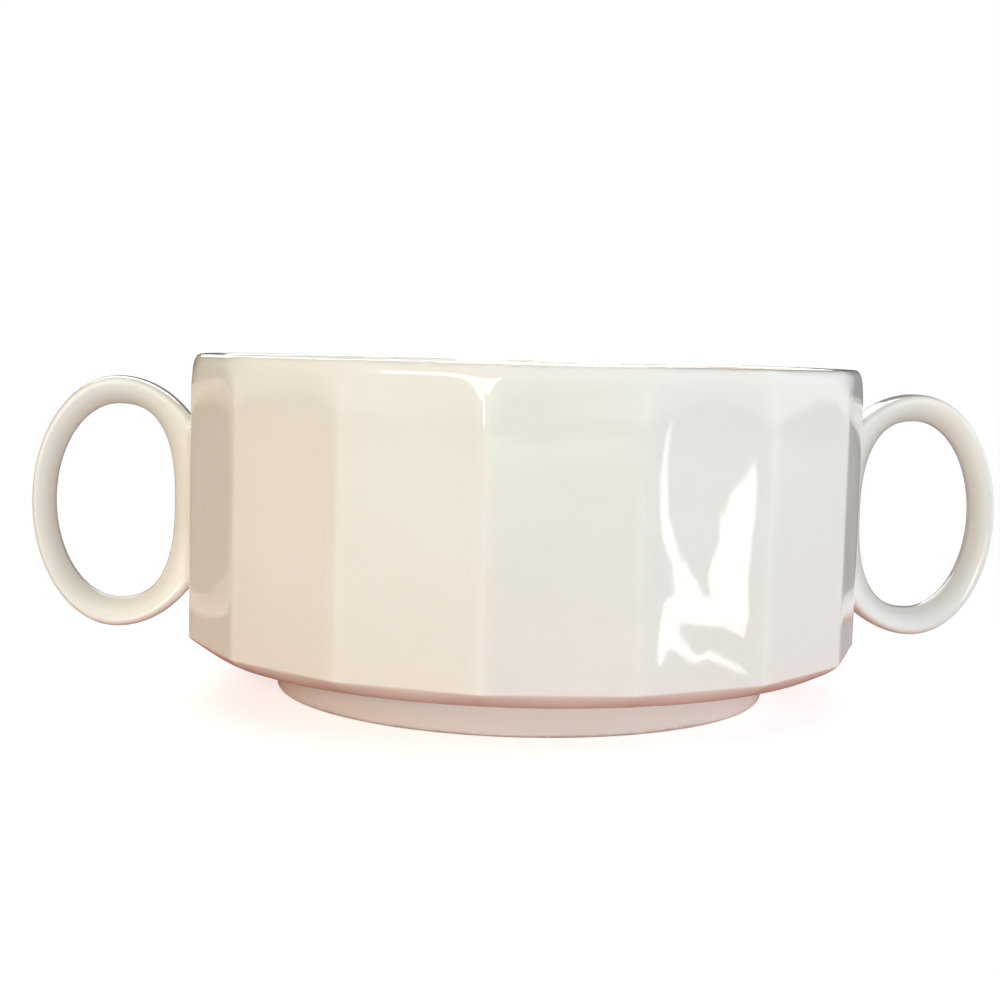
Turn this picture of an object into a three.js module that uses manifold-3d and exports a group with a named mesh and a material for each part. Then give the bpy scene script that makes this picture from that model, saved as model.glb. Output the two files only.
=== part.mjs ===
// Cream soup bowl: a faceted porcelain cup on a foot ring, with a loop handle on each side.
// Millimetres, +Z up. The origin is on the table under the middle of the cup, and the handles lie along X.
import * as THREE from 'three';
import { mergeVertices } from 'three/addons/utils/BufferGeometryUtils.js';
import Module from 'manifold-3d';

// Cup, outside
const FACET_PAIRS = 8;
const ACROSS_FLATS = 106;
const RIM_HEIGHT = 53;
const LOWER_EDGE_RADIUS = 3.3;
const LOWER_CORNER_RADIUS = 0.5;
const UNDERSIDE_LEDGE = 0.6;
const UNDERSIDE_FALL = 0.5;

// Lip: a soft round-over that follows the facets, and a longer one that takes their upright edges down
const LIP_DROP = 2.2;
const LIP_INSET = 1.0;
const SHOULDER_DROP = 8;
const SHOULDER_INSET = 0.5;
const LIP_INNER_RADIUS = 1.0;

// Cup, inside
const WALL = 3.2;
const INSIDE_DRAFT = 0.8;
const INSIDE_CORNER_RADIUS = 13;
const FLOOR_THICKNESS = 3.6;

// Foot ring
const FOOT_SETBACK = 12.5;
const FOOT_HEIGHT = 5.7;
const FOOT_WIDTH = 4.6;
const FOOT_TAPER = 0.1;
const FOOT_INNER_TAPER = 1.2;
const FOOT_EDGE_RADIUS = 0.5;

// Slip that joins the pieces, and how far its wiped edge spreads round each joint
const SLIP_THICKNESS = 0.4;
const SLIP_SPREAD = 0.9;

// Loop handle, measured out from the facet that it stands on
const HANDLE_CLEARANCE = 5.6;
const HANDLE_REACH = 25.4;
const HANDLE_HEIGHT = 40;
const HANDLE_CROWN = 12.1;
const HANDLE_ROOT_HEIGHT = 25.4;
const HANDLE_WIDTH = 8.7;
const BAND_AT_REACH = 3.35;
const BAND_AT_CROWN = 4.45;
const BAND_AT_FACET = 3.3;
const BAND_EDGE_FLAT = 0.7;
const BAND_EDGE_ROUNDING = 2.7;
const HOLE_SQUARENESS = 0.7;

// Fineness of the curved surfaces
const TURN_STEPS_PER_FACET = 6;
const UPRIGHT_EDGE_STEPS = 2;
const ROUNDING_STEPS = 4;
const INSIDE_CORNER_STEPS = 8;
const OUTLINE_STEPS = 10;
const SLIP_OUTLINE_STEPS = 6;
const SLIP_EDGE_STEPS = 2;

// Places that follow from the sizes above
const QUARTER_TURN = Math.PI / 2;
const FACET_COUNT = 2 * FACET_PAIRS;
const HALF_FACET_ANGLE = Math.PI / FACET_COUNT;
const APOTHEM = ACROSS_FLATS / 2;
const CORNER_RADIUS = APOTHEM / Math.cos(HALF_FACET_ANGLE);
const UPRIGHT_EDGE_RADIUS = LOWER_EDGE_RADIUS + LOWER_CORNER_RADIUS;
const FOOT_RADIUS = APOTHEM - FOOT_SETBACK;
const FOOT_INNER_RADIUS = FOOT_RADIUS - FOOT_WIDTH;
const SEAT_HEIGHT = FOOT_HEIGHT + SLIP_THICKNESS;
const FLOOR_HEIGHT = SEAT_HEIGHT + FLOOR_THICKNESS;
const LOWER_EDGE_HEIGHT = SEAT_HEIGHT + UNDERSIDE_FALL;
const FACET_FOOT_HEIGHT = LOWER_EDGE_HEIGHT + LOWER_EDGE_RADIUS;
const HANDLE_ROOT_LOW = FACET_FOOT_HEIGHT + HANDLE_CLEARANCE + SLIP_SPREAD;
const HANDLE_MIDDLE_HEIGHT = HANDLE_ROOT_LOW + HANDLE_ROOT_HEIGHT / 2;
const WELL_ABOVE_RIM = 2 * RIM_HEIGHT;

const porcelain = new THREE.MeshStandardMaterial({ color: 0xece5d8, roughness: 0.12, metalness: 0 });
const slip = new THREE.MeshStandardMaterial({ color: 0xe9e1d3, roughness: 0.16, metalness: 0 });
const footWare = new THREE.MeshStandardMaterial({ color: 0xe8ddd0, roughness: 0.3, metalness: 0 });

const wasm = await Module();
wasm.setup();

// A closed three.js geometry as a solid that can be joined and cut
function toSolid(geometry) {
  const bare = geometry.clone();
  bare.deleteAttribute('normal');
  bare.deleteAttribute('uv');
  const merged = mergeVertices(bare);
  const corners = Array.from(merged.index.array);
  const triVerts = [];
  for (let i = 0; i < corners.length; i += 3) {
    const [a, b, c] = corners.slice(i, i + 3);
    const hasArea = a !== b && b !== c && c !== a;
    if (hasArea) triVerts.push(a, b, c);
  }
  const vertProperties = new Float32Array(merged.attributes.position.array);
  return new wasm.Manifold(new wasm.Mesh({
    numProp: 3,
    vertProperties,
    triVerts: new Uint32Array(triVerts),
  }));
}

function toGeometry(solid) {
  const mesh = solid.getMesh();
  const geometry = new THREE.BufferGeometry();
  geometry.setAttribute('position', new THREE.BufferAttribute(mesh.vertProperties, mesh.numProp));
  geometry.setIndex(new THREE.BufferAttribute(mesh.triVerts, 1));
  geometry.computeVertexNormals();
  return geometry;
}

// Points on a quarter of an ellipse, from one angle to the other
function arc(centreX, centreY, radiusX, radiusY, from, to, steps) {
  const points = [];
  for (let i = 0; i <= steps; i++) {
    const angle = from + (to - from) * i / steps;
    const x = centreX + radiusX * Math.cos(angle);
    const y = centreY + radiusY * Math.sin(angle);
    points.push(new THREE.Vector2(x, y));
  }
  return points;
}

// A profile of radius and height, turned about the Z axis
function revolve(profile) {
  const geometry = new THREE.LatheGeometry(profile, FACET_COUNT * TURN_STEPS_PER_FACET);
  geometry.rotateX(QUARTER_TURN);
  return geometry;
}

// The plan of the cup: straight facets with soft upright edges between them
function facetedPlan() {
  const plan = new THREE.Shape();
  const arcCentre = (APOTHEM - UPRIGHT_EDGE_RADIUS) / Math.cos(HALF_FACET_ANGLE);
  for (let i = 0; i < FACET_COUNT; i++) {
    const middle = (2 * i + 1) * HALF_FACET_ANGLE;
    plan.absarc(
      arcCentre * Math.cos(middle),
      arcCentre * Math.sin(middle),
      UPRIGHT_EDGE_RADIUS,
      middle - HALF_FACET_ANGLE,
      middle + HALF_FACET_ANGLE,
    );
  }
  plan.closePath();
  return plan;
}

// The plan raised from one height to another, with both ends rounded over
function roundedPrism([low, high], roundingHeight, roundingInset) {
  const geometry = new THREE.ExtrudeGeometry(facetedPlan(), {
    depth: high - low - 2 * roundingHeight,
    curveSegments: UPRIGHT_EDGE_STEPS,
    bevelThickness: roundingHeight,
    bevelSize: roundingInset,
    bevelOffset: -roundingInset,
    bevelSegments: ROUNDING_STEPS,
  });
  geometry.translate(0, 0, low + roundingHeight);
  return geometry;
}

// The lip's shoulder: a round of revolution that rounds the tops of the upright edges
function lipShoulder() {
  const top = APOTHEM - SHOULDER_INSET;
  const start = RIM_HEIGHT - SHOULDER_DROP;
  return revolve([
    new THREE.Vector2(0, 0),
    new THREE.Vector2(CORNER_RADIUS, 0),
    ...arc(top, start, CORNER_RADIUS - top, SHOULDER_DROP, 0, QUARTER_TURN, ROUNDING_STEPS),
    new THREE.Vector2(0, RIM_HEIGHT),
  ]);
}

// The underside: a shallow cone that falls from the lower edge to the flat seat of the foot
function underside() {
  const seatRadius = FOOT_RADIUS + SLIP_SPREAD;
  const edgeRadius = APOTHEM - LOWER_EDGE_RADIUS - UNDERSIDE_LEDGE;
  return revolve([
    new THREE.Vector2(0, SEAT_HEIGHT),
    new THREE.Vector2(seatRadius, SEAT_HEIGHT),
    new THREE.Vector2(edgeRadius, LOWER_EDGE_HEIGHT),
    new THREE.Vector2(edgeRadius, FACET_FOOT_HEIGHT),
    new THREE.Vector2(0, FACET_FOOT_HEIGHT),
  ]);
}

// The round inside: a flat floor, a wide corner, a wall with a little draft and a rounded inner lip
function inside() {
  const rimRadius = APOTHEM - WALL;
  const cornerRadius = rimRadius - INSIDE_DRAFT;
  const cornerCentre = cornerRadius - INSIDE_CORNER_RADIUS;
  return revolve([
    new THREE.Vector2(0, FLOOR_HEIGHT),
    ...arc(
      cornerCentre,
      FLOOR_HEIGHT + INSIDE_CORNER_RADIUS,
      INSIDE_CORNER_RADIUS,
      INSIDE_CORNER_RADIUS,
      -QUARTER_TURN,
      0,
      INSIDE_CORNER_STEPS,
    ),
    ...arc(
      rimRadius + LIP_INNER_RADIUS,
      RIM_HEIGHT - LIP_INNER_RADIUS,
      LIP_INNER_RADIUS,
      LIP_INNER_RADIUS,
      2 * QUARTER_TURN,
      QUARTER_TURN,
      ROUNDING_STEPS,
    ),
    new THREE.Vector2(rimRadius + LIP_INNER_RADIUS, WELL_ABOVE_RIM),
    new THREE.Vector2(0, WELL_ABOVE_RIM),
  ]);
}

function bowlBody() {
  const wallReach = [LOWER_EDGE_HEIGHT, WELL_ABOVE_RIM];
  const lipReach = [0, RIM_HEIGHT];
  const wall = toSolid(roundedPrism(wallReach, LOWER_EDGE_RADIUS, LOWER_EDGE_RADIUS));
  const lip = toSolid(roundedPrism(lipReach, LIP_DROP, LIP_INSET));
  const outside = wall.intersect(lip).intersect(toSolid(lipShoulder())).add(toSolid(underside()));
  return toGeometry(outside.subtract(toSolid(inside())));
}

// The foot ring narrows a little towards the table, and stands on a flat band between two rounded edges
function footRing() {
  const outerFoot = FOOT_RADIUS - FOOT_TAPER - FOOT_EDGE_RADIUS;
  const innerFoot = FOOT_INNER_RADIUS + FOOT_INNER_TAPER + FOOT_EDGE_RADIUS;
  const edge = FOOT_EDGE_RADIUS;
  const profile = [
    new THREE.Vector2(FOOT_INNER_RADIUS, FOOT_HEIGHT),
    ...arc(innerFoot, edge, edge, edge, 2 * QUARTER_TURN, 3 * QUARTER_TURN, ROUNDING_STEPS),
    ...arc(outerFoot, edge, edge, edge, -QUARTER_TURN, 0, ROUNDING_STEPS),
    new THREE.Vector2(FOOT_RADIUS, FOOT_HEIGHT),
    new THREE.Vector2(FOOT_INNER_RADIUS, FOOT_HEIGHT),
  ];
  return revolve(profile);
}

// The slip above the foot ring spreads out against the underside on both edges of the ring
function footSlipJoint() {
  return revolve([
    new THREE.Vector2(FOOT_INNER_RADIUS - SLIP_SPREAD, SEAT_HEIGHT),
    new THREE.Vector2(FOOT_INNER_RADIUS, FOOT_HEIGHT),
    new THREE.Vector2(FOOT_RADIUS, FOOT_HEIGHT),
    new THREE.Vector2(FOOT_RADIUS + SLIP_SPREAD, SEAT_HEIGHT),
    new THREE.Vector2(FOOT_INNER_RADIUS - SLIP_SPREAD, SEAT_HEIGHT),
  ]);
}

// Everything behind a plane that faces the handle's way, to trim what stands on a facet
function behindPlane(offset) {
  const size = HANDLE_HEIGHT + 2 * HANDLE_REACH;
  const block = new THREE.BoxGeometry(size, size, size);
  block.translate(offset - size / 2, 0, 0);
  return toSolid(block);
}

// The finger hole: elliptical towards the reach, squarer along the facet
function fingerHole() {
  const hole = new THREE.Path();
  const half = HANDLE_HEIGHT / 2 - BAND_AT_CROWN;
  const outer = HANDLE_REACH - BAND_AT_REACH - HANDLE_CROWN;
  const inner = HANDLE_CROWN - BAND_AT_FACET;
  const pullX = HANDLE_CROWN - HOLE_SQUARENESS * inner;
  const pullZ = HOLE_SQUARENESS * half;
  hole.absellipse(HANDLE_CROWN, 0, outer, half, -QUARTER_TURN, QUARTER_TURN);
  hole.bezierCurveTo(pullX, half, BAND_AT_FACET, pullZ, BAND_AT_FACET, 0);
  hole.bezierCurveTo(BAND_AT_FACET, -pullZ, pullX, -half, HANDLE_CROWN, -half);
  return hole;
}

// The loop's outline: two half ellipses that meet at the crown, the inner one running on behind the facet
function handleOutline() {
  const half = HANDLE_HEIGHT / 2;
  const rootShare = HANDLE_ROOT_HEIGHT / HANDLE_HEIGHT;
  const innerReach = HANDLE_CROWN / Math.sqrt(1 - rootShare * rootShare);
  const outline = new THREE.Shape();
  outline.absellipse(HANDLE_CROWN, 0, HANDLE_REACH - HANDLE_CROWN, half, -QUARTER_TURN, QUARTER_TURN);
  outline.absellipse(HANDLE_CROWN, 0, innerReach, half, QUARTER_TURN, 3 * QUARTER_TURN);
  outline.holes.push(fingerHole());
  return outline;
}

// The loop: its outline drawn out to the band's width, rounded on every edge and cut flat for the facet
function loopHandle() {
  const straight = HANDLE_WIDTH - 2 * BAND_EDGE_ROUNDING;
  const roundingIn = (BAND_AT_REACH - BAND_EDGE_FLAT) / 2;
  const geometry = new THREE.ExtrudeGeometry(handleOutline(), {
    depth: straight,
    curveSegments: OUTLINE_STEPS,
    bevelThickness: BAND_EDGE_ROUNDING,
    bevelSize: roundingIn,
    bevelOffset: -roundingIn,
    bevelSegments: ROUNDING_STEPS,
  });
  geometry.translate(0, 0, -straight / 2);
  geometry.rotateX(QUARTER_TURN);
  return toGeometry(toSolid(geometry).subtract(behindPlane(SLIP_THICKNESS)));
}

// The slip under a handle: the shape of its root, spreading to a thin edge against the facet
function handleSlipJoint() {
  const halfWidth = HANDLE_WIDTH / 2;
  const straight = HANDLE_ROOT_HEIGHT / 2 - halfWidth;
  const root = new THREE.Shape();
  root.absarc(0, straight, halfWidth, 0, Math.PI);
  root.absarc(0, -straight, halfWidth, Math.PI, 2 * Math.PI);
  root.closePath();
  const geometry = new THREE.ExtrudeGeometry(root, {
    depth: SLIP_THICKNESS,
    curveSegments: SLIP_OUTLINE_STEPS,
    bevelThickness: SLIP_THICKNESS,
    bevelSize: SLIP_SPREAD,
    bevelSegments: SLIP_EDGE_STEPS,
  });
  geometry.translate(0, 0, -SLIP_THICKNESS);
  geometry.rotateX(QUARTER_TURN);
  geometry.rotateZ(QUARTER_TURN);
  return toGeometry(toSolid(geometry).subtract(behindPlane(0)));
}

function piece(name, geometry, material) {
  const mesh = new THREE.Mesh(geometry, material);
  mesh.name = name;
  return mesh;
}

// One handle with its slip, standing on the facet that faces the given way
function handleOnFacet(side, turn) {
  const group = new THREE.Group();
  group.add(piece(`${side}_handle`, loopHandle(), porcelain));
  group.add(piece(`${side}_handle_slip_joint`, handleSlipJoint(), slip));
  group.position.set(APOTHEM * Math.cos(turn), 0, HANDLE_MIDDLE_HEIGHT);
  group.rotation.z = turn;
  return group;
}

const creamSoupBowl = new THREE.Group();
creamSoupBowl.add(piece('bowl_body', bowlBody(), porcelain));
creamSoupBowl.add(piece('foot_ring', footRing(), footWare));
creamSoupBowl.add(piece('foot_slip_joint', footSlipJoint(), slip));
creamSoupBowl.add(handleOnFacet('right', 0));
creamSoupBowl.add(handleOnFacet('left', Math.PI));

export default creamSoupBowl;
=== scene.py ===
import itertools
import math

import bmesh
import bpy
import numpy as np
from mathutils import Matrix, Vector


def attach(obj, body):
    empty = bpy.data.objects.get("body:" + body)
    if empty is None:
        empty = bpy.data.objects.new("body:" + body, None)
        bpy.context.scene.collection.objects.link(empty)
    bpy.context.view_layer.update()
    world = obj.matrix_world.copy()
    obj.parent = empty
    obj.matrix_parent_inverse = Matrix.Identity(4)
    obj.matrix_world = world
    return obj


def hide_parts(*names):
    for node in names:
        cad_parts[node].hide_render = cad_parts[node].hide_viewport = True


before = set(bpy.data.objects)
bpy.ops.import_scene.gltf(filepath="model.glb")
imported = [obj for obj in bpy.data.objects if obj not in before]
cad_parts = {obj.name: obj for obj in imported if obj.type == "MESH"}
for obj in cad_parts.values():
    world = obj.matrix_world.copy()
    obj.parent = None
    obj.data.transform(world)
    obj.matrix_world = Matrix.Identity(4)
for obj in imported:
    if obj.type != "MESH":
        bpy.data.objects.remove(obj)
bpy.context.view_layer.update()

# A two-handled bowl in glazed porcelain. Its sizes are in millimetres, as in the solids, and go to
# metres with MM. Stage, camera and lights are in metres unless they say otherwise.
MM = 0.001

# Cup
FACETS = 16
APOTHEM = 53.0
RIM_HEIGHT = 53.0
EDGE_RADIUS = 3.0
SEAT_HEIGHT = 6.1
UNDER_RADII = (3, 9, 16, 23, 29, 33, 35, 36.2, 38, 40.2, 41)
UNDER_RISE = 0.5
UNDER_RISE_RADIUS = 34
LEDGE_RADIUS = 49.9
LEDGE_INSET = 0.4
LEDGE_CURVE = 1.3
LOWER_RISE = 2.4
LOWER_HEIGHT = 6.6
LOWER_ROUNDNESS = 1.25
WALL_FOOT = 0.15
SHOULDER_DROP = 8.0
SHOULDER_INSET = 0.5
SHOULDER_BLEND = 0.3
LIP_DROP = 2.2
LIP_INNER_DROP = 1.3
LIP_ROUNDNESS = 2.4
INNER_RADIUS = 49.8
INNER_DRAFT = 0.8
FLOOR_HEIGHT = 9.7
FLOOR_CORNER = 13.0
FLOOR_RADII = (34, 31, 27, 22, 16, 10, 5, 2)

# Slight unevenness of the facets, kept clear of each handle by angles in radians
RIPPLE_SEED = 16
RIPPLE_WAVES = 7
RIPPLE_COUNTS = (5, 19)
RIPPLE_LEAN = 0.22
RIPPLE_DEPTH = 0.016
RIPPLE_CLEAR = (0.19, 0.3)
RIPPLE_LIP_FADE = 6.0

# Foot ring
FOOT_RADIUS = 39.2
FOOT_INNER_RADIUS = 35.9
FOOT_HEIGHT = 5.7
FOOT_FLARE = 0.3
FOOT_INNER_TAPER = 1.2
FOOT_EDGE = 0.5
FOOT_FILLET = 0.9
SLIP_OVERLAP = 0.02
SLIP_RISE = 0.03

# Handles
HANDLE_HEIGHT = 40.0
HANDLE_REACH = 25.4
HANDLE_CROWN = 12.1
HANDLE_ROOT = 25.4
HANDLE_WIDTH = 8.7
HANDLE_MIDDLE = 29.1
BAND_REACH = 3.35
BAND_CROWN = 4.45
BAND_FACET = 3.3
BAND_LEAST = 0.5
BAND_TAPER = 0.64
TAPER_POWER = 1.6
TAPER_LIMIT = -1.3
HOLE_POWER = 2.57
SECTION_POWER = 3.4
ROOT_BLEND = 1.5
ROOT_SINK = 0.004
SLIP_TOP = 0.9

# Share of tone at a point, from 0 where it is lightest to 1 where it is darkest, and where it changes
EVEN_SHARE = 0.5
# A darker share, used for painted shade at the foot's top and joint and on the underside over the foot
DARK_SHARE = 0.9
LEDGE_SHARE = 0.7
# Darker on the underside beyond this radius, over the foot ring
UNDER_DARK_RADIUS = 30
EDGE_LIGHTENING = 0.22
EDGE_LIGHTENING_REACH = 0.022
LIP_SHARE = 0.42
LIP_LIGHTENING = 0.2
# How much darker the middle of the floor's corner is
FLOOR_CORNER_DARKENING = 0.25
# Height from which painted shade darkens the foot's top, under the body
FOOT_SHADE_START = 4.2
# Painted light on the outside of each handle's band, painted shade at its hole, and where that changes
# across the band
BAND_PAINTED_LIGHT_SHARE = 0.02
BAND_PAINTED_SHADE_SHARE = 0.96
BAND_PAINTED_FADE = (-0.9, 0.2)
ROOT_SHARE = 0.46
ROOT_SHARE_END = 0.06
ROOT_SHARE_FADE = (0.2, 2.2)

# Height up to which the glaze was wiped off the foot, with its waves as depth, count and phase
WIPE_HEIGHT = 0.42
WIPE_WAVES = ((0.07, 5, 0.7), (0.05, 13, 2.1))
WIPE_EDGE = 0.12

# Fineness of the meshes
FLAT_COLUMNS = 13
EDGE_COLUMNS = 7
LEDGE_ROWS = 8
LOWER_ROWS = 25
WALL_ROWS = 40
LIP_ROWS = 15
INSIDE_ROWS = 15
FLOOR_CORNER_ROWS = 18
RING_COLUMNS = 320
FOOT_INNER_ROWS = 7
FOOT_EDGE_ROWS = 10
FOOT_FACE_ROWS = 5
FOOT_OUTER_ROWS = 11
FILLET_ROWS = 9
NET_STEP = 0.42
NET_MARGIN = (1.0, 2.6, 1.2)
NET_DEPTH = 0.6
RELAX_ROUNDS = 4
RELAX_SHARE = 0.5
SETTLE_ROUNDS = 4
SLOPE_STEP = 0.01
LEAST_SLOPE = 0.3
FACET_SKIN = -0.003
CUT_TOLERANCE = 1e-5
TINY = 1e-6

HALF_FACET = math.pi / FACETS
CORNER_RADIUS = APOTHEM / math.cos(HALF_FACET)
WALL_START = LOWER_HEIGHT + LOWER_RISE
LIP_START = RIM_HEIGHT - LIP_DROP
# Angle from the middle of a facet to where its upright edge begins
FLAT_REACH = math.atan((APOTHEM - EDGE_RADIUS) * math.tan(HALF_FACET) / APOTHEM)


def smooth_min(a, b, reach):
    share = np.clip(0.5 + 0.5 * (b - a) / reach, 0, 1)
    return b + (a - b) * share - reach * share * (1 - share)


def smooth_step(low, high, x):
    t = np.clip((x - low) / (high - low), 0, 1)
    return t * t * (3 - 2 * t)


def shares(count):
    """Shares from 0 to 1 in a number of even steps."""
    return np.linspace(0, 1, count + 1)


def facet_offset(turn):
    """Angle from the middle of the nearest facet."""
    return (turn + HALF_FACET) % (2 * HALF_FACET) - HALF_FACET


def plan_radius(turn):
    """Radius of the faceted plan with its soft upright edges."""
    away = np.abs(facet_offset(turn))
    centre = (APOTHEM - EDGE_RADIUS) / math.cos(HALF_FACET)
    off = HALF_FACET - away
    edge = np.sqrt(np.maximum(EDGE_RADIUS**2 - (centre * np.sin(off)) ** 2, 0))
    return np.where(away < FLAT_REACH, APOTHEM / np.cos(away), centre * np.cos(off) + edge)


def ripple(turn, height):
    """The slight unevenness of fired facets. The two that carry handles stay flat."""
    draw = np.random.default_rng(RIPPLE_SEED)
    total = np.zeros(np.broadcast(turn, height).shape)
    for _ in range(RIPPLE_WAVES):
        around = draw.integers(*RIPPLE_COUNTS)
        lean = draw.uniform(-RIPPLE_LEAN, RIPPLE_LEAN)
        phase = draw.uniform(0, 2 * math.pi)
        total += np.sin(around * turn + lean * height + phase)
    from_handle = np.abs((turn + math.pi / 2) % math.pi - math.pi / 2)
    return RIPPLE_DEPTH * total * smooth_step(*RIPPLE_CLEAR, from_handle)


def ellipse_quarter(steps, power):
    """Cosine and sine shares of a quarter of a superellipse, from 0 to 90 degrees."""
    angle = np.linspace(0, math.pi / 2, steps)
    return np.cos(angle) ** (2 / power), np.sin(angle) ** (2 / power)


def facet_columns():
    """Directions round the bowl, closer together on the upright edges."""
    edge = HALF_FACET - FLAT_REACH
    flat = np.linspace(-FLAT_REACH, FLAT_REACH, FLAT_COLUMNS)
    bend = FLAT_REACH + 2 * edge * np.arange(1, EDGE_COLUMNS + 1) / (EDGE_COLUMNS + 1)
    local = np.concatenate([flat, bend])
    return (local[None, :] + 2 * HALF_FACET * np.arange(FACETS)[:, None]).ravel()


def profile_round(profile, columns):
    """A profile's radii and heights, repeated in each direction."""
    turn = np.linspace(0, 2 * math.pi, columns, endpoint=False)
    profile = np.array(profile, float)
    return turn, [np.repeat(column[:, None], columns, 1) for column in profile.T]


def turned(turn, radii, heights, closed):
    """Points and faces of a profile carried round the axis. An open profile ends in two poles."""
    rows, columns = radii.shape
    grid = np.stack([radii * np.cos(turn), radii * np.sin(turn), heights], -1)
    points = grid.reshape(-1, 3)
    index = np.arange(rows * columns).reshape(rows, columns)
    ahead = np.roll(index, -1, axis=1)
    if closed:
        quads = np.stack([index, ahead, np.roll(ahead, -1, 0), np.roll(index, -1, 0)], -1)
        return points, quads.reshape(-1, 4).tolist()
    quads = np.stack([index[:-1], ahead[:-1], ahead[1:], index[1:]], -1)
    faces = quads.reshape(-1, 4).tolist()
    poles = np.array([[0, 0, heights[0, 0]], [0, 0, heights[-1, 0]]])
    first = len(points)
    last = first + 1
    faces += [[first, b, a] for a, b in zip(index[0], ahead[0])]
    faces += [[last, a, b] for a, b in zip(index[-1], ahead[-1])]
    return np.concatenate([points, poles]), faces


def make_piece(name, points, faces, material, node, slot, values):
    """A mesh that stands for a node of the solids, with values at each point for its material."""
    mesh = bpy.data.meshes.new(name)
    mesh.from_pydata((np.asarray(points) * MM).tolist(), [], faces)
    mesh.shade_smooth()
    for key, numbers in values.items():
        layer = mesh.attributes.new(key, "FLOAT", "POINT")
        layer.data.foreach_set("value", np.asarray(numbers, np.float32))
    piece = bpy.data.objects.new(name, mesh)
    bpy.context.scene.collection.objects.link(piece)
    mesh.materials.append(material)
    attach(piece, "root")
    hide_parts(node)
    return piece


# Shader nodes

# The range that nearly all of a noise falls in. A noise is given by its scale, its detail and, where
# that isn't 0.5, its roughness.
NOISE_RANGE = (0.3, 0.7)
WHITE = (1.0, 1.0, 1.0)


def empty_tree(name):
    material = bpy.data.materials.new(name)
    material.use_nodes = True
    tree = material.node_tree
    tree.nodes.clear()
    output = tree.nodes.new("ShaderNodeOutputMaterial")
    return material, tree, output.inputs["Surface"]


def principled(name):
    material, tree, surface = empty_tree(name)
    shader = tree.nodes.new("ShaderNodeBsdfPrincipled")
    tree.links.new(shader.outputs["BSDF"], surface)
    return material, tree, shader


def noise(tree, scale, detail, roughness=0.5):
    place = tree.nodes.new("ShaderNodeTexCoord")
    node = tree.nodes.new("ShaderNodeTexNoise")
    node.inputs["Scale"].default_value = scale
    node.inputs["Detail"].default_value = detail
    node.inputs["Roughness"].default_value = roughness
    tree.links.new(place.outputs["Object"], node.inputs["Vector"])
    return node.outputs["Fac"]


def attribute(tree, name):
    node = tree.nodes.new("ShaderNodeAttribute")
    node.attribute_name = name
    return node.outputs["Fac"]


def ramp(tree, share, stops):
    node = tree.nodes.new("ShaderNodeValToRGB")
    elements = node.color_ramp.elements
    while len(elements) < len(stops):
        elements.new(0.5)
    for element, (place, colour) in zip(elements, stops):
        element.position = place
        element.color = (*colour, 1)
    tree.links.new(share, node.inputs["Fac"])
    return node.outputs["Color"]


def clouded(tree, cloud, dull, bright):
    """A tone that drifts between two colours."""
    return ramp(tree, noise(tree, *cloud), list(zip(NOISE_RANGE, (dull, bright))))


def rescale(tree, value, source, target, course="LINEAR"):
    """Carries a value from its source range to the target range."""
    node = tree.nodes.new("ShaderNodeMapRange")
    node.interpolation_type = course
    node.inputs["From Min"].default_value = source[0]
    node.inputs["From Max"].default_value = source[1]
    node.inputs["To Min"].default_value = target[0]
    node.inputs["To Max"].default_value = target[1]
    tree.links.new(value, node.inputs["Value"])
    return node.outputs["Result"]


def mix(tree, share, a, b, blend="MIX"):
    node = tree.nodes.new("ShaderNodeMix")
    node.data_type = "RGBA"
    node.blend_type = blend
    sockets = {socket.identifier: socket for socket in [*node.inputs, *node.outputs]}
    if isinstance(share, float):
        sockets["Factor_Float"].default_value = share
    else:
        tree.links.new(share, sockets["Factor_Float"])
    tree.links.new(a, sockets["A_Color"])
    tree.links.new(b, sockets["B_Color"])
    return sockets["Result_Color"]


def bump(tree, height, depth, strength, under=None):
    node = tree.nodes.new("ShaderNodeBump")
    node.inputs["Distance"].default_value = depth
    node.inputs["Strength"].default_value = strength
    tree.links.new(height, node.inputs["Height"])
    if under is not None:
        tree.links.new(under, node.inputs["Normal"])
    return node.outputs["Normal"]


# Porcelain. Depths of bumps are in metres.

# Glaze tones from the lightest to the darkest share: the lightest carries painted light on the handles'
# outer side, the darkest painted shade at their holes and at the foot
LIGHTEST_GLAZE = (0.94, 0.925, 0.89)
EVEN_GLAZE = (0.865, 0.845, 0.80)
DARKEST_GLAZE = (0.82, 0.795, 0.735)
CLOUD_TINT = (0.975, 0.968, 0.955)
CLOUD_NOISE = (55, 3)
GLOSS_NOISE = (90, 4)
GLAZE_ROUGHNESS = (0.03, 0.06)
GLAZE_IOR = 1.52
WAVE_NOISE = (130, 2)
WAVE_DEPTH = 0.00012
WAVE_STRENGTH = 0.35
PEEL_NOISE = (1100, 2)
PEEL_DEPTH = 0.00002
PEEL_STRENGTH = 0.25
BARE_WARE = (0.78, 0.735, 0.66)
BARE_STAIN = (0.60, 0.545, 0.47)
STAIN_RANGE = (0.35, 0.6)
STAIN_NOISE = (420, 6, 0.65)
FOOT_ROUGHNESS = (0.09, 0.72)
GRAIN_NOISE = (2600, 4, 0.7)
GRAIN_DEPTH = 0.00004
GRAIN_STRENGTH = 0.3


def glaze_tone(tree):
    """The glaze's colour, from its lightest to its darkest share; its ends also carry painted light and
    painted shade.
    """
    stops = [(0.0, LIGHTEST_GLAZE), (0.5, EVEN_GLAZE), (1.0, DARKEST_GLAZE)]
    return ramp(tree, attribute(tree, "glaze"), stops)


def glaze_waves(tree):
    return bump(tree, noise(tree, *WAVE_NOISE), WAVE_DEPTH, WAVE_STRENGTH)


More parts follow.
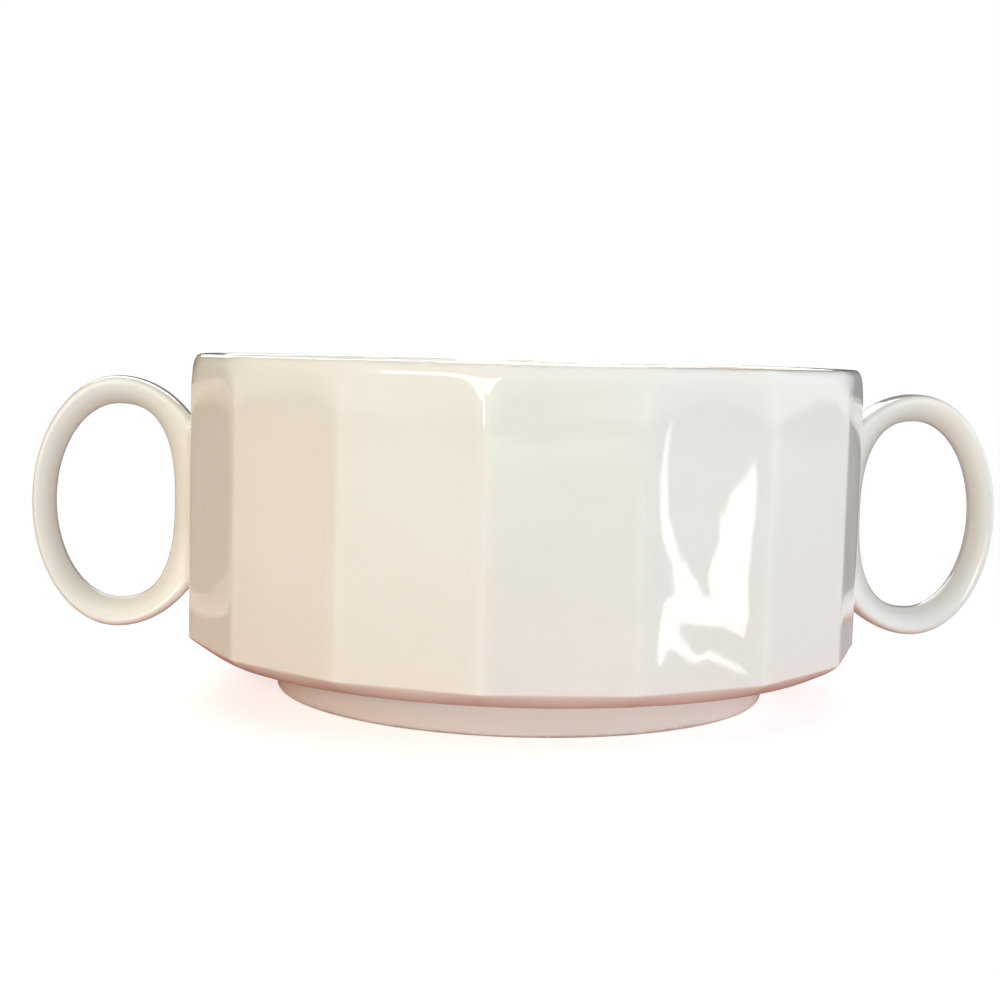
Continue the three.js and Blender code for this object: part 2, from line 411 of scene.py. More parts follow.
def glazed_porcelain(name):
    """Clear glaze on white ware with a faint orange peel: lighter on edges, darker in corners, with
    painted light and painted shade on the handles and painted shade on the foot's joint.
    """
    material, tree, shader = principled(name)
    cloud = clouded(tree, CLOUD_NOISE, CLOUD_TINT, WHITE)
    tone = mix(tree, 1.0, glaze_tone(tree), cloud, "MULTIPLY")
    tree.links.new(tone, shader.inputs["Base Color"])
    gloss = rescale(tree, noise(tree, *GLOSS_NOISE), NOISE_RANGE, GLAZE_ROUGHNESS)
    tree.links.new(gloss, shader.inputs["Roughness"])
    peel = bump(tree, noise(tree, *PEEL_NOISE), PEEL_DEPTH, PEEL_STRENGTH, glaze_waves(tree))
    tree.links.new(peel, shader.inputs["Normal"])
    shader.inputs["IOR"].default_value = GLAZE_IOR
    return material


def foot_porcelain(name):
    """Glazed like the rest, with painted shade at its top, and a dry, slightly stained band where the
    glaze was wiped off.
    """
    material, tree, shader = principled(name)
    bare = attribute(tree, "bare")
    stain = noise(tree, *STAIN_NOISE)
    ware = ramp(tree, stain, list(zip(STAIN_RANGE, (BARE_STAIN, BARE_WARE))))
    tree.links.new(mix(tree, bare, glaze_tone(tree), ware), shader.inputs["Base Color"])
    tree.links.new(rescale(tree, bare, (0, 1), FOOT_ROUGHNESS), shader.inputs["Roughness"])
    fine = noise(tree, *GRAIN_NOISE)
    grain = bump(tree, fine, GRAIN_DEPTH, GRAIN_STRENGTH, glaze_waves(tree))
    tree.links.new(grain, shader.inputs["Normal"])
    shader.inputs["IOR"].default_value = GLAZE_IOR
    return material


porcelain = glazed_porcelain("glazed_porcelain")
slip_glaze = glazed_porcelain("glazed_slip")
foot_ware = foot_porcelain("foot_porcelain")


# Bowl body, in rows of radius, height and glaze from under the bowl to its floor


def underside_rows():
    """From the axis, over the foot ring, to the ledge."""
    for radius in UNDER_RADII:
        height = SEAT_HEIGHT + UNDER_RISE * (1 - min(1, radius / UNDER_RISE_RADIUS) ** 2)
        yield radius, height, DARK_SHARE if radius > UNDER_DARK_RADIUS else EVEN_SHARE
    start = UNDER_RADII[-1]
    for share in shares(LEDGE_ROWS)[1:]:
        radius = start + (LEDGE_RADIUS - LEDGE_INSET - start) * share
        height = SEAT_HEIGHT + (LOWER_HEIGHT - SEAT_HEIGHT) * share**LEDGE_CURVE
        yield radius, height, LEDGE_SHARE + (EVEN_SHARE - LEDGE_SHARE) * share


def lower_edge_rows(turn, wall):
    """From the round ledge out to the faceted wall."""
    for fall, reach in zip(*ellipse_quarter(LOWER_ROWS, LOWER_ROUNDNESS)):
        height = LOWER_HEIGHT + LOWER_RISE * (1 - fall)
        radius = LEDGE_RADIUS + (wall - LEDGE_RADIUS) * reach
        yield radius + ripple(turn, height) * reach**2, height, EVEN_SHARE


def under_shoulder(radius, height):
    """Keeps the facets' edges within a faint round shoulder below the lip."""
    top = APOTHEM - SHOULDER_INSET
    rise = max(0, height - (RIM_HEIGHT - SHOULDER_DROP)) / SHOULDER_DROP
    limit = top + (CORNER_RADIUS - top) * math.sqrt(max(0, 1 - rise * rise))
    return smooth_min(radius, np.full_like(radius, limit), SHOULDER_BLEND)


def wall_rows(turn, wall):
    """Up the facets, lighter on their edges."""
    from_edge = HALF_FACET - np.abs(facet_offset(turn))
    on_edge = 1 - smooth_step(0, EDGE_LIGHTENING_REACH, from_edge)
    heights = np.linspace(WALL_START, LIP_START, WALL_ROWS)[1:-1]
    for height in (WALL_START + WALL_FOOT, *heights):
        fade = 1 - smooth_step(LIP_START - RIPPLE_LIP_FADE, LIP_START, height)
        radius = under_shoulder(wall + ripple(turn, height) * fade, height)
        yield radius, height, EVEN_SHARE - EDGE_LIGHTENING * on_edge


def lip_rows(wall):
    """Over the lip, from the faceted outside to the round inside."""
    across, up = ellipse_quarter(LIP_ROWS, LIP_ROUNDNESS)
    middle = (wall + INNER_RADIUS) / 2
    for share, rise in zip(across, up):
        height = RIM_HEIGHT - LIP_DROP * (1 - rise)
        radius = under_shoulder(middle + (wall - middle) * share, height)
        yield radius, height, LIP_SHARE - LIP_LIGHTENING * rise
    for share, rise in zip(across[-2::-1], up[-2::-1]):
        height = RIM_HEIGHT - LIP_INNER_DROP * (1 - rise)
        yield middle - (middle - INNER_RADIUS) * share, height, LIP_SHARE - LIP_LIGHTENING * rise


def inside_rows():
    """Down the round inside and over its floor to the axis."""
    top = RIM_HEIGHT - LIP_INNER_DROP
    foot = FLOOR_HEIGHT + FLOOR_CORNER
    for share in shares(INSIDE_ROWS)[1:]:
        yield INNER_RADIUS - INNER_DRAFT * share, top + (foot - top) * share, EVEN_SHARE
    centre = INNER_RADIUS - INNER_DRAFT - FLOOR_CORNER
    for angle in np.linspace(0, math.pi / 2, FLOOR_CORNER_ROWS + 1)[1:]:
        radius = centre + FLOOR_CORNER * math.cos(angle)
        height = FLOOR_HEIGHT + FLOOR_CORNER * (1 - math.sin(angle))
        yield radius, height, EVEN_SHARE + FLOOR_CORNER_DARKENING * math.sin(2 * angle)
    for radius in FLOOR_RADII:
        yield radius, FLOOR_HEIGHT, EVEN_SHARE


def bowl_body():
    turn = facet_columns()
    wall = plan_radius(turn)
    rows = itertools.chain(
        underside_rows(),
        lower_edge_rows(turn, wall),
        wall_rows(turn, wall),
        lip_rows(wall),
        inside_rows(),
    )
    full = [[np.broadcast_to(np.asarray(v, float), turn.shape) for v in row] for row in rows]
    radii, heights, glaze = (np.array(part) for part in zip(*full))
    points, faces = turned(turn, radii, heights, False)
    make_piece(
        "bowl_body_faceted_cup",
        points,
        faces,
        porcelain,
        "bowl_body",
        "glazed_porcelain",
        {"glaze": np.append(glaze.ravel(), [EVEN_SHARE, EVEN_SHARE])},
    )


bowl_body()


# Foot ring and the slip above it


def foot_profile():
    """Round the ring's section: outer side down, standing face inwards, inner side up."""
    outer = FOOT_RADIUS + FOOT_FLARE - FOOT_EDGE
    inner = FOOT_INNER_RADIUS + FOOT_INNER_TAPER + FOOT_EDGE
    quarter = np.linspace(0, math.pi / 2, FOOT_EDGE_ROWS)
    rows = []
    for share in shares(FOOT_OUTER_ROWS)[:0:-1]:
        height = FOOT_EDGE + (FOOT_HEIGHT - FOOT_EDGE) * share
        rows.append((FOOT_RADIUS + FOOT_FLARE * (1 - share), height))
    for angle in quarter:
        rows.append((outer + FOOT_EDGE * math.cos(angle), FOOT_EDGE * (1 - math.sin(angle))))
    for share in shares(FOOT_FACE_ROWS)[-2:0:-1]:
        rows.append((inner + (outer - inner) * share, 0))
    for angle in quarter[::-1]:
        rows.append((inner - FOOT_EDGE * math.cos(angle), FOOT_EDGE * (1 - math.sin(angle))))
    for share in shares(FOOT_INNER_ROWS)[-2::-1]:
        height = FOOT_HEIGHT + (FOOT_EDGE - FOOT_HEIGHT) * share
        rows.append((FOOT_INNER_RADIUS + FOOT_INNER_TAPER * share, height))
    return rows


def foot_ring():
    turn, (radii, heights) = profile_round(foot_profile(), RING_COLUMNS)
    points, faces = turned(turn, radii, heights, True)
    wiped = WIPE_HEIGHT + sum(depth * np.sin(n * turn + phase) for depth, n, phase in WIPE_WAVES)
    # Painted shade darkens the top of the foot, where it meets the body
    foot_shade = smooth_step(FOOT_SHADE_START, FOOT_HEIGHT, heights)
    make_piece(
        "foot_ring_turned",
        points,
        faces,
        foot_ware,
        "foot_ring",
        "foot_porcelain",
        {
            "bare": (1 - smooth_step(wiped - WIPE_EDGE, wiped + WIPE_EDGE, heights)).ravel(),
            "glaze": (EVEN_SHARE + (DARK_SHARE - EVEN_SHARE) * foot_shade).ravel(),
        },
    )


def foot_slip_profile():
    """Two hollow fillets, one on each side of the ring's top."""
    angles = np.linspace(0, math.pi / 2, FILLET_ROWS)
    low = SEAT_HEIGHT + SLIP_RISE - FOOT_FILLET
    rows = []
    for angle in angles:
        out = FOOT_FILLET * (1 - math.cos(angle))
        rows.append((FOOT_RADIUS - SLIP_OVERLAP + out, low + FOOT_FILLET * math.sin(angle)))
    for angle in angles[::-1]:
        out = FOOT_FILLET * (1 - math.cos(angle))
        rows.append((FOOT_INNER_RADIUS + SLIP_OVERLAP - out, low + FOOT_FILLET * math.sin(angle)))
    return rows


def foot_slip():
    turn, (radii, heights) = profile_round(foot_slip_profile(), RING_COLUMNS)
    points, faces = turned(turn, radii, heights, True)
    # The foot's joint is darkened all round with painted shade
    make_piece(
        "foot_slip_joint_fillet",
        points,
        faces,
        slip_glaze,
        "foot_slip_joint",
        "glazed_slip",
        {"glaze": np.full(len(points), DARK_SHARE)},
    )


foot_ring()
foot_slip()


# Loop handles. x runs out from the facet, y across the band, z up from the loop's middle.


def oval_distance(x, z, reach, inner, half, power):
    """Roughly how far a point lies outside an oval whose half towards the facet may be squarer."""
    near = x < HANDLE_CROWN
    wide = np.where(near, inner, reach)
    shape = np.where(near, power, 2.0)
    u = np.maximum(np.abs(x - HANDLE_CROWN), TINY) / wide
    w = np.maximum(np.abs(z), TINY) / half
    size = (u**shape + w**shape) ** (1 / shape)
    slope = np.hypot((u / size) ** (shape - 1) / wide, (w / size) ** (shape - 1) / half)
    return (size - 1) / slope


def band_place(x, z):
    """Where a point lies across the band, -1 at the hole and 1 outside, and half the band there."""
    half = HANDLE_HEIGHT / 2
    root = HANDLE_ROOT / HANDLE_HEIGHT
    inner = HANDLE_CROWN / math.sqrt(1 - root * root)
    outside = oval_distance(x, z, HANDLE_REACH - HANDLE_CROWN, inner, half, 2.0)
    hole = oval_distance(
        x,
        z,
        HANDLE_REACH - BAND_REACH - HANDLE_CROWN,
        HANDLE_CROWN - BAND_FACET,
        half - BAND_CROWN,
        HOLE_POWER,
    )
    thick = np.maximum(hole - outside, BAND_LEAST) / 2
    return (hole + outside) / (2 * thick), thick


def band_level(p):
    """Below 0 inside the loop's oval band, which is widest at its outer side."""
    across, thick = band_place(p[..., 0], p[..., 2])
    inward = (1 - np.clip(across, TAPER_LIMIT, 1)) / 2
    narrowed = 1 - BAND_TAPER * inward**TAPER_POWER
    wide = np.abs(p[..., 1]) / (HANDLE_WIDTH / 2 * narrowed)
    section = (np.abs(across) ** SECTION_POWER + wide**SECTION_POWER) ** (1 / SECTION_POWER)
    return (section - 1) * thick


def gradient(level, p):
    parts = []
    for axis in np.eye(3) * SLOPE_STEP:
        parts.append((level(p + axis) - level(p - axis)) / (2 * SLOPE_STEP))
    return np.stack(parts, -1)


def handle_level(p):
    """The band, with its root flowing out onto the facet."""
    steep = np.maximum(np.linalg.norm(gradient(band_level, p), axis=-1), LEAST_SLOPE)
    return smooth_min(band_level(p) / steep, p[..., 0] + ROOT_SINK, ROOT_BLEND)


def surface_net(level, low, high, step):
    """Points and quads of the surface where level is 0, one point in each cell that it crosses."""
    axes = [np.arange(a, b + step / 2, step) for a, b in zip(low, high)]
    nodes = np.stack(np.meshgrid(*axes, indexing="ij"), -1)
    values = level(nodes)
    shape = tuple(n - 1 for n in values.shape)
    total = np.zeros(shape + (3,))
    count = np.zeros(shape)
    corners = list(itertools.product((0, 1), repeat=3))

    def at(array, corner):
        return array[tuple(slice(c, c + n) for c, n in zip(corner, shape))]

    for a, b in itertools.combinations(corners, 2):
        if sum(abs(i - j) for i, j in zip(a, b)) != 1:
            continue
        first = at(values, a)
        second = at(values, b)
        crossed = (first < 0) != (second < 0)
        share = np.where(crossed, first / np.where(crossed, first - second, 1), 0)[..., None]
        place = at(nodes, a) + share * (at(nodes, b) - at(nodes, a))
        total += np.where(crossed[..., None], place, 0)
        count += crossed
    used = count > 0
    index = np.full(shape, -1)
    index[used] = np.arange(used.sum())
    points = total[used] / count[used][:, None]
    faces = []
    for axis in range(3):
        side = (axis + 1) % 3
        other = (axis + 2) % 3
        here = [slice(1, -1)] * 3
        here[axis] = slice(0, -1)
        there = list(here)
        there[axis] = slice(1, None)
        start = values[tuple(here)] < 0
        end = values[tuple(there)] < 0

        def cells(d_side, d_other):
            reach = [slice(None)] * 3
            reach[side] = slice(1 - d_side, shape[side] - d_side)
            reach[other] = slice(1 - d_other, shape[other] - d_other)
            return index[tuple(reach)]

        ring = np.stack([cells(1, 1), cells(0, 1), cells(0, 0), cells(1, 0)], -1)
        faces += ring[start & ~end].tolist()
        faces += ring[end & ~start][:, ::-1].tolist()
    return points, faces


def settle(level, points, rounds):
    """Moves points onto the surface where level is 0."""
    for _ in range(rounds):
        slope = gradient(level, points)
        points = points - slope * (level(points) / (slope**2).sum(-1))[:, None]
    return points


def relax(level, points, faces):
    """Evens out the quads along the surface where level is 0."""
    quads = np.array(faces)
    edges = np.concatenate([quads[:, [i, (i + 1) % 4]] for i in range(4)])
    edges = np.unique(np.sort(edges, axis=1), axis=0)
    for _ in range(RELAX_ROUNDS):
        total = np.zeros_like(points)
        count = np.zeros(len(points))
        for a, b in ((0, 1), (1, 0)):
            np.add.at(total, edges[:, a], points[edges[:, b]])
            np.add.at(count, edges[:, a], 1)
        points = settle(level, points + RELAX_SHARE * (total / count[:, None] - points), 1)
    return points


def loop_mesh():
    """The loop and its slip in one skin, open where it lies on the facet."""
    beyond, beside, above = NET_MARGIN
    side = HANDLE_WIDTH / 2 + beside
    top = HANDLE_HEIGHT / 2 + above
    low = (-NET_DEPTH, -side, -top)
    high = (HANDLE_REACH + beyond, side, top)
    points, faces = surface_net(handle_level, low, high, NET_STEP)
    points = relax(handle_level, settle(handle_level, points, SETTLE_ROUNDS), faces)
    points = settle(handle_level, points, SETTLE_ROUNDS)
    raised = points[:, 0] > FACET_SKIN
    kept = [f for f in faces if any(raised[i] for i in f)]
    mesh = bmesh.new()
    corner = {i: mesh.verts.new(points[i]) for i in sorted({i for f in kept for i in f})}
    for f in kept:
        mesh.faces.new([corner[i] for i in f])
    return mesh


def cut_piece(source, keep_above):
    """The part of the loop above or below the top of the slip, closed by flat faces."""
    mesh = source.copy()
    everything = mesh.verts[:] + mesh.edges[:] + mesh.faces[:]
    bmesh.ops.bisect_plane(
        mesh,
        geom=everything,
        dist=CUT_TOLERANCE,
        plane_co=(SLIP_TOP, 0, 0),
        plane_no=(1, 0, 0),
        clear_inner=keep_above,
        clear_outer=not keep_above,
    )
    mesh.faces.ensure_lookup_table()
    skin = len(mesh.faces)
    bmesh.ops.holes_fill(mesh, edges=[e for e in mesh.edges if e.is_boundary], sides=0)
    mesh.verts.ensure_lookup_table()
    mesh.faces.ensure_lookup_table()
    points = np.array([v.co for v in mesh.verts])
    faces = [[v.index for v in f.verts] for f in mesh.faces]
    mesh.free()
    return points, faces, skin


def handle_painted_shading(points):
    """Painted light on the outside of the band and painted shade at its hole, with an even tone at its
    root.
    """
    across = band_place(points[:, 0], points[:, 2])[0]
    inward = 1 - smooth_step(*BAND_PAINTED_FADE, across)
    rooted = 1 - smooth_step(*ROOT_SHARE_FADE, points[:, 0])
    band = BAND_PAINTED_LIGHT_SHARE + (BAND_PAINTED_SHADE_SHARE - BAND_PAINTED_LIGHT_SHARE) * inward
    return np.maximum(band, ROOT_SHARE_END + (ROOT_SHARE - ROOT_SHARE_END) * rooted)


def keep_normals(mesh, normals, skin):
    """Gives the skin its own smooth normals, and flat ones to the faces that close it."""
    corner_normals = []
    for number, polygon in enumerate(mesh.polygons):
        flat = number >= skin
        for vertex in polygon.vertices:
            corner_normals.append(polygon.normal if flat else normals[vertex])
    mesh.normals_split_custom_set([tuple(n) for n in corner_normals])


def handle_pieces(side, facing, source):
    """The loop and its slip, on the facet that faces +X or -X."""
    turn = (facing, facing, 1)
    for suffix, above, material, slot in (
        ("", True, porcelain, "glazed_porcelain"),
        ("_slip_joint", False, slip_glaze, "glazed_slip"),
    ):
        points, faces, skin = cut_piece(source, above)
        normals = gradient(handle_level, points)
        normals /= np.linalg.norm(normals, axis=1)[:, None]
        placed = points * turn + (facing * APOTHEM, 0, HANDLE_MIDDLE)
        node = f"{side}_handle{suffix}"
        name = f"{node}_fillet" if suffix else f"{node}_loop"
        # The handle's tone carries painted light outside the band and painted shade at its hole
        values = {"glaze": handle_painted_shading(points)}
        piece = make_piece(name, placed, faces, material, node, slot, values)
        keep_normals(piece.data, normals * turn, skin)


loop_source = loop_mesh()
handle_pieces("right", 1, loop_source)
handle_pieces("left", -1, loop_source)
loop_source.free()


# Stage: a pale floor that only the camera sees, and a table that only light and glaze see

FLOOR_FADE = (0.055, 0.17)
FLOOR_DULL = (0.93, 0.925, 0.92)
FLOOR_BRIGHT = (0.96, 0.955, 0.95)
FLOOR_CLOUD = (3, 2)
FLOOR_GLOW = 0.55
FLOOR_ROUGHNESS = (0.55, 0.65)
FLOOR_GLOSS = (40, 3)
TABLE_REACH = 1.5
TABLE_DROP = -0.0004
TABLE_ROUGHNESS = (0.6, 0.75)
TABLE_GLOSS = (30, 3)
TABLE_CLOUD = (5, 3)
MAT_CLOUD = (9, 4)
MAT_DULL = (0.60, 0.245, 0.195)
MAT_BRIGHT = (0.68, 0.295, 0.235)
TABLE_DULL = (0.48, 0.46, 0.44)
TABLE_BRIGHT = (0.56, 0.54, 0.51)
REAR_DULL = (0.15, 0.145, 0.14)
REAR_BRIGHT = (0.19, 0.185, 0.18)
MAT_FADE = (0.058, 0.095)
REAR_FADE = (0.0, 0.16)
DISC_RINGS = (0.03, 0.06, 0.12, 0.25, 0.5, 1.0)
DISC_COLUMNS = 96


def near_share(tree, fade):
    """1 near the middle of the stage, falling to 0 further out."""
    place = tree.nodes.new("ShaderNodeTexCoord")
    away = tree.nodes.new("ShaderNodeVectorMath")
    away.operation = "LENGTH"
    tree.links.new(place.outputs["Object"], away.inputs[0])
    return rescale(tree, away.outputs["Value"], fade, (1, 0), "SMOOTHSTEP")


def rear_share(tree, fade):
    """0 in front of the bowl's middle, rising to 1 behind it."""
    place = tree.nodes.new("ShaderNodeTexCoord")
    axes = tree.nodes.new("ShaderNodeSeparateXYZ")
    tree.links.new(place.outputs["Object"], axes.inputs["Vector"])
    return rescale(tree, axes.outputs["Y"], fade, (0, 1), "SMOOTHSTEP")


def pale_floor(name):
    """A pale floor that fades out into the white surround."""
    material, tree, shader = principled(name)
    tone = clouded(tree, FLOOR_CLOUD, FLOOR_DULL, FLOOR_BRIGHT)
    tree.links.new(tone, shader.inputs["Base Color"])
    shader.inputs["Emission Color"].default_value = (*WHITE, 1)
    shader.inputs["Emission Strength"].default_value = FLOOR_GLOW
    gloss = rescale(tree, noise(tree, *FLOOR_GLOSS), NOISE_RANGE, FLOOR_ROUGHNESS)
    tree.links.new(gloss, shader.inputs["Roughness"])
    tree.links.new(near_share(tree, FLOOR_FADE), shader.inputs["Alpha"])
    return material


def warm_table(name):
    """A warm mat under the bowl, on a table that is grey in front of the bowl and dark behind it."""
    material, tree, shader = principled(name)
    mat = clouded(tree, MAT_CLOUD, MAT_DULL, MAT_BRIGHT)
    front = clouded(tree, TABLE_CLOUD, TABLE_DULL, TABLE_BRIGHT)
    rear = clouded(tree, TABLE_CLOUD, REAR_DULL, REAR_BRIGHT)
    table = mix(tree, rear_share(tree, REAR_FADE), front, rear)
    tone = mix(tree, near_share(tree, MAT_FADE), table, mat)
    tree.links.new(tone, shader.inputs["Base Color"])
    gloss = rescale(tree, noise(tree, *TABLE_GLOSS), NOISE_RANGE, TABLE_ROUGHNESS)
    tree.links.new(gloss, shader.inputs["Roughness"])
    return material


def stage_disc(name, reach, height, material):
    rows = [(reach * share, height) for share in DISC_RINGS]
    turn, (radii, heights) = profile_round(rows, DISC_COLUMNS)
    points, faces = turned(turn, radii, heights, False)
    last = len(points) - 1
    mesh = bpy.data.meshes.new(name)
    mesh.from_pydata(points[:last].tolist(), [], [f for f in faces if last not in f])
    mesh.materials.append(material)
    disc = bpy.data.objects.new(name, mesh)
    bpy.context.scene.collection.objects.link(disc)
    return disc


studio_floor = stage_disc("studio_floor", FLOOR_FADE[1], 0.0, pale_floor("pale_floor"))
studio_floor.visible_diffuse = False
studio_floor.visible_glossy = False
studio_floor.visible_shadow = False
studio_table = stage_disc("studio_table", TABLE_REACH, TABLE_DROP, warm_table("warm_table"))
studio_table.visible_camera = False


# Camera, found from the photo's facet edges, rim and foot. Its lengths are in millimetres.

CAMERA_DISTANCE = 271.3
CAMERA_ABOVE_RIM = 2.0
CAMERA_YAW = math.radians(-0.81)
CAMERA_PITCH = math.radians(5.22)
CAMERA_ROLL = math.radians(1.5)
VIEW_TURN = math.radians(-5.89)
FOCAL_PIXELS = 1663.0
IMAGE_PIXELS = 1000.0
SENSOR_WIDTH = 36.0
CLIP_START = 10.0

view_turn = Matrix.Rotation(VIEW_TURN, 3, "Z")


def photo_camera():
    level = math.cos(CAMERA_PITCH)
    ahead = Vector(
        (math.sin(CAMERA_YAW) * level, math.cos(CAMERA_YAW) * level, -math.sin(CAMERA_PITCH))
    )
    right = Vector((math.cos(CAMERA_YAW), -math.sin(CAMERA_YAW), 0))
    up = right.cross(ahead)
    cosine = math.cos(CAMERA_ROLL)
    sine = math.sin(CAMERA_ROLL)
    axes = [cosine * right + sine * up, cosine * up - sine * right, -ahead]
    eye = Vector((0, -CAMERA_DISTANCE, RIM_HEIGHT + CAMERA_ABOVE_RIM)) * MM
    data = bpy.data.cameras.new("photo_camera")
    data.sensor_width = SENSOR_WIDTH
    data.lens = SENSOR_WIDTH * FOCAL_PIXELS / IMAGE_PIXELS
    data.clip_start = CLIP_START * MM
    camera = bpy.data.objects.new("photo_camera", data)
    bpy.context.scene.collection.objects.link(camera)
    turn = Matrix([view_turn @ axis for axis in axes]).transposed().to_4x4()
    camera.matrix_world = Matrix.Translation(view_turn @ eye) @ turn
    bpy.context.scene.camera = camera


photo_camera()


# Lights. Places are seen from the camera: x to the right, y away from it, z up. Powers are in watts.

BOWL_MIDDLE = (0, 0, 0.027)
BOWL_INSIDE = (0, 0.05, 0.045)
INSIDE_SPREAD = math.radians(6)


def area_light(name, place, aim, size, power, colour):
    data = bpy.data.lights.new(name, "AREA")
    data.shape = "RECTANGLE"
    data.size = size[0]
    data.size_y = size[1]
    data.energy = power
    data.color = colour
    light = bpy.data.objects.new(name, data)
    start = view_turn @ Vector(place)
    end = view_turn @ Vector(aim)
    light.location = start
    light.rotation_mode = "QUATERNION"
    light.rotation_quaternion = (end - start).to_track_quat("-Z", "Y")
    light.visible_camera = False
    bpy.context.scene.collection.objects.link(light)
    return light


def softbox(name, place, size, power, colour=WHITE, lights_up=True, mirrored=False):
    """A broad light aimed at the bowl. It lights the bowl up, its image shows in the glaze, or both."""
    light = area_light(name, place, BOWL_MIDDLE, size, power, colour)
    light.visible_diffuse = lights_up
    light.visible_glossy = mirrored


softbox("front", place=(0.1, -0.9, 0.16), size=(0.3, 0.12), power=3.35, colour=(0.89, 1.0, 0.96))
softbox("left", place=(-0.6, -0.45, 0.38), size=(0.5, 0.4), power=2.68, colour=(1.0, 0.76, 0.51))
softbox("right", place=(0.55, -0.5, 0.36), size=(0.5, 0.4), power=1.05, colour=(0.57, 0.70, 1.0))
softbox("right_side", place=(0.85, 0.15, 0.25), size=(0.4, 0.4), power=3.6, colour=(1.0, 0.96, 0.97))
softbox(
    "back", place=(-0.2, 0.85, 0.5), size=(0.7, 0.5), power=3.0, colour=(1.0, 0.98, 0.96), mirrored=True
)
softbox("window", place=(-0.34, -0.84, 0.28), size=(0.56, 0.2), power=1.9, lights_up=False, mirrored=True)
softbox("pane", place=(-0.337, -0.834, 0.092), size=(0.1, 0.16), power=0.3, lights_up=False, mirrored=True)
inside_light = area_light(
    "inside",
    place=(0, -0.59, 0.81),
    aim=BOWL_INSIDE,
    size=(0.03, 0.03),
    power=0.012,
    colour=(1.0, 0.99, 0.97),
)
inside_light.data.spread = INSIDE_SPREAD

# A card with a window's broken image, beside the facet to the right of the front. Each stroke is a
# row of places along the card, their heights and the stroke's half width there, in millimetres.
GLARE_PLACE = Vector((65.0, -67.2, 0))
GLARE_SIDE = Vector((0.452, 0.892, 0))
GLARE_BOX = ((-11.0, 10.0), (0.0, 45.0))
GLARE_STEP = 0.4
GLARE_EDGE = 0.6
GLARE_RADIANCE = 6.0
GLARE_STROKES = (
    (
        (-6.0, 43.2, 0.2),
        (-6.6, 39.6, 0.5),
        (-7.0, 34.3, 0.8),
        (-6.7, 28.6, 1.1),
        (-5.6, 23.7, 1.0),
        (-4.0, 20.0, 1.3),
        (-2.2, 14.8, 2.6),
    ),
    (
        (6.8, 37.4, 0.2),
        (6.7, 35.2, 1.1),
        (5.6, 31.9, 2.1),
        (5.0, 28.1, 2.7),
        (4.6, 23.3, 2.9),
        (4.1, 19.7, 3.3),
        (4.4, 15.5, 3.3),
        (5.7, 12.2, 2.1),
        (7.1, 9.3, 0.3),
    ),
    ((-5.1, 13.7, 2.0), (-2.1, 13.2, 2.6), (1.4, 13.0, 2.3), (3.1, 11.8, 1.0)),
    ((-5.1, 13.7, 2.0), (-6.1, 9.7, 1.6), (-6.3, 7.2, 1.5), (-7.3, 4.0, 0.5)),
    (
        (-5.6, 9.7, 1.1),
        (-3.9, 6.8, 1.0),
        (-1.5, 4.8, 0.7),
        (1.1, 5.7, 0.6),
        (4.4, 4.6, 0.6),
        (7.6, 3.3, 0.2),
    ),
)


def glare_glow(places):
    """How bright the card is at each place: full inside a stroke, fading out over its edge."""
    depth = np.full(len(places), -np.inf)
    for stroke in GLARE_STROKES:
        for (*start, first), (*end, last) in zip(stroke, stroke[1:]):
            run = np.subtract(end, start)
            share = np.clip((places - start) @ run / (run @ run), 0, 1)
            away = np.linalg.norm(places - start - share[:, None] * run, axis=1)
            depth = np.maximum(depth, first + (last - first) * share - away)
    return GLARE_RADIANCE * smooth_step(-GLARE_EDGE / 2, GLARE_EDGE / 2, depth)


def glare_material(name):
    """See-through, and bright where the glow says so."""
    material, tree, surface = empty_tree(name)
    clear = tree.nodes.new("ShaderNodeBsdfTransparent")
    glow = tree.nodes.new("ShaderNodeEmission")
    both = tree.nodes.new("ShaderNodeAddShader")
    tree.links.new(attribute(tree, "glow"), glow.inputs["Strength"])
    tree.links.new(clear.outputs["BSDF"], both.inputs[0])
    tree.links.new(glow.outputs["Emission"], both.inputs[1])
    tree.links.new(both.outputs["Shader"], surface)
    return material


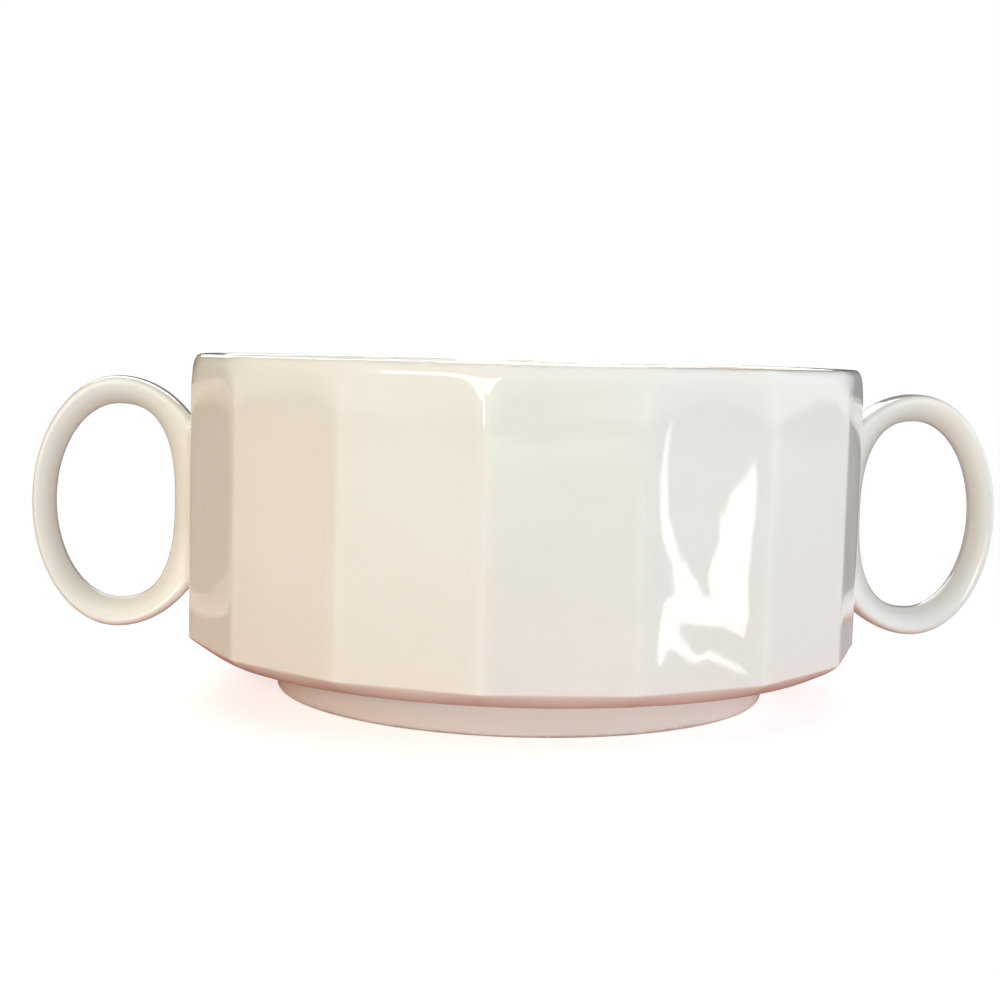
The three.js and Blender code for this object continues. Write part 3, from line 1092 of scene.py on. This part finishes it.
def glare_card():
    """A card that only the glaze's reflections see."""
    along, rise = (np.arange(a, b + GLARE_STEP / 2, GLARE_STEP) for a, b in GLARE_BOX)
    places = np.stack(np.meshgrid(along, rise, indexing="ij"), -1).reshape(-1, 2)
    glow = glare_glow(places)
    index = np.arange(len(places)).reshape(len(along), len(rise))
    quads = np.stack([index[:-1, :-1], index[1:, :-1], index[1:, 1:], index[:-1, 1:]], -1)
    quads = quads.reshape(-1, 4)
    quads = quads[glow[quads].max(1) > 0]
    points = [
        view_turn @ (GLARE_PLACE + GLARE_SIDE * a + Vector((0, 0, z))) * MM for a, z in places
    ]
    mesh = bpy.data.meshes.new("glare_card")
    mesh.from_pydata(points, [], quads.tolist())
    layer = mesh.attributes.new("glow", "FLOAT", "POINT")
    layer.data.foreach_set("value", glow.astype(np.float32))
    mesh.materials.append(glare_material("glare_light"))
    card = bpy.data.objects.new("glare_card", mesh)
    bpy.context.scene.collection.objects.link(card)
    card.visible_camera = False
    card.visible_diffuse = False
    card.visible_transmission = False
    card.visible_shadow = False


glare_card()

ROOM_LIGHT = (0.2, 0.2, 0.2)
MIRROR_AROUND = (1.2, 1.2, 1.2)
MIRROR_BEHIND = (0.05, 0.05, 0.05)
MIRROR_FADE = (0.35, 0.85)


def studio_world():
    """White to the camera, a soft even room to the light, and dark behind the bowl to the gloss."""
    world = bpy.data.worlds.new("studio_world")
    world.use_nodes = True
    tree = world.node_tree
    tree.nodes.clear()
    output = tree.nodes.new("ShaderNodeOutputWorld")

    def shade(colour):
        node = tree.nodes.new("ShaderNodeBackground")
        node.inputs["Color"].default_value = (*colour, 1)
        return node.outputs["Background"]

    def choose(share, first, second):
        node = tree.nodes.new("ShaderNodeMixShader")
        tree.links.new(share, node.inputs["Fac"])
        tree.links.new(first, node.inputs[1])
        tree.links.new(second, node.inputs[2])
        return node.outputs["Shader"]

    place = tree.nodes.new("ShaderNodeTexCoord")
    depth = tree.nodes.new("ShaderNodeVectorMath")
    depth.operation = "DOT_PRODUCT"
    tree.links.new(place.outputs["Generated"], depth.inputs[0])
    depth.inputs[1].default_value = view_turn @ Vector((0, 1, 0))
    rear = rescale(tree, depth.outputs["Value"], MIRROR_FADE, (0, 1), "SMOOTHSTEP")
    path = tree.nodes.new("ShaderNodeLightPath")
    mirrored = choose(rear, shade(MIRROR_AROUND), shade(MIRROR_BEHIND))
    unseen = choose(path.outputs["Is Glossy Ray"], shade(ROOM_LIGHT), mirrored)
    seen = choose(path.outputs["Is Camera Ray"], unseen, shade(WHITE))
    tree.links.new(seen, output.inputs["Surface"])
    bpy.context.scene.world = world


studio_world()
bpy.context.scene.view_settings.view_transform = "Standard"
